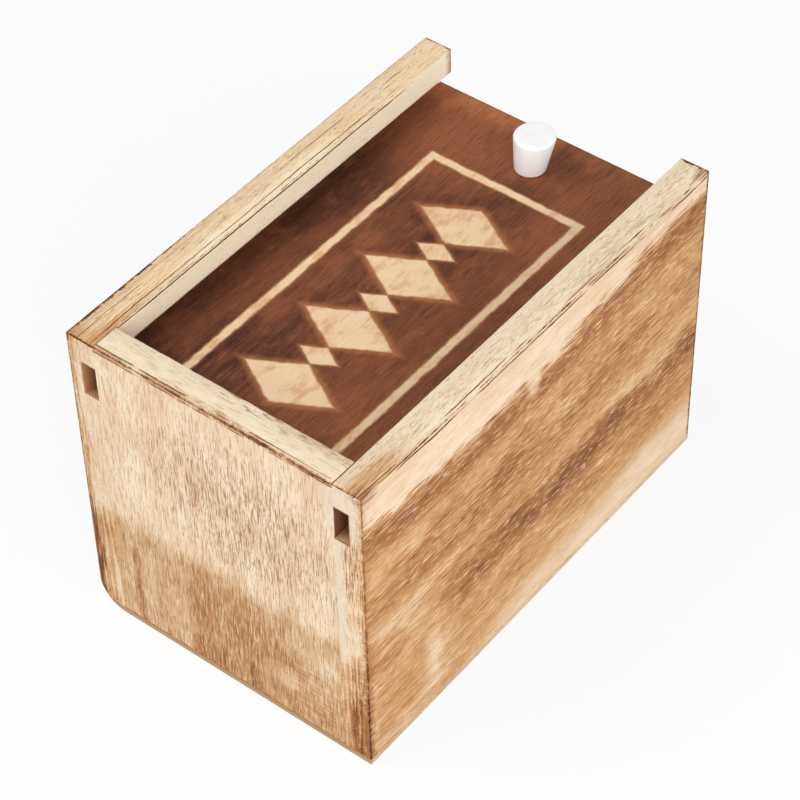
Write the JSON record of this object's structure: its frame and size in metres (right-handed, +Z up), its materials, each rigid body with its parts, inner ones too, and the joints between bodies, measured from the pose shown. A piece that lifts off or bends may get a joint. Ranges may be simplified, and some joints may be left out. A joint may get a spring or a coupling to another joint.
{
  "type": "jack in the box",
  "caption": "Small torched wooden box with a stained sliding lid pulled by a white peg; a rubber spider on a sprung wire arm swings up through the top as the lid opens.",
  "frame": {"origin": "middle of the underside of the box", "axes": "+X along the box towards the end that the lid slides out of, +Y across the box to its left side panel, +Z up"},
  "size_m": [0.085, 0.0544, 0.059],
  "materials": {
    "torched_wood": "torched, unvarnished",
    "plywood": "raw",
    "stained_wood": "stained dark brown",
    "dowel_wood": "raw",
    "white_plastic": "satin",
    "spacer_plastic": "satin",
    "steel": "bright",
    "spring_steel": "drawn wire",
    "black_rubber": "soft, slightly glossy"
  },
  "bodies": {
    "box": {"left_side_panel": "torched_wood", "right_side_panel": "torched_wood", "front_wall": "torched_wood", "rear_wall": "torched_wood", "bottom_board": "plywood", "bottom_brads": "steel", "axle_rod": "steel", "left_axle_spacer": "spacer_plastic", "right_axle_spacer": "spacer_plastic", "torsion_spring": "spring_steel"},
    "lid": {"lid_panel": "stained_wood", "lid_peg": "white_plastic", "lid_stop_pins": "steel"},
    "arm": {"arm_hub": "dowel_wood", "arm_wire": "spring_steel", "rubber_spider": "black_rubber"}
  },
  "joints": [
    {"name": "lid_slide", "type": "slide", "parent": "box", "child": "lid", "axis": [1, 0, 0], "range_m": [0, 0.068]},
    {"name": "arm_swing", "type": "hinge", "parent": "box", "child": "arm", "pos_m": [0.029, 0, 0.026], "axis": [0, 1, 0], "range_deg": [0, 97], "deforming": ["torsion_spring"]}
  ],
  "couplings": [
    {"joint": "arm_swing", "follows": "lid_slide", "rad_per_m": 24.784}
  ]
}
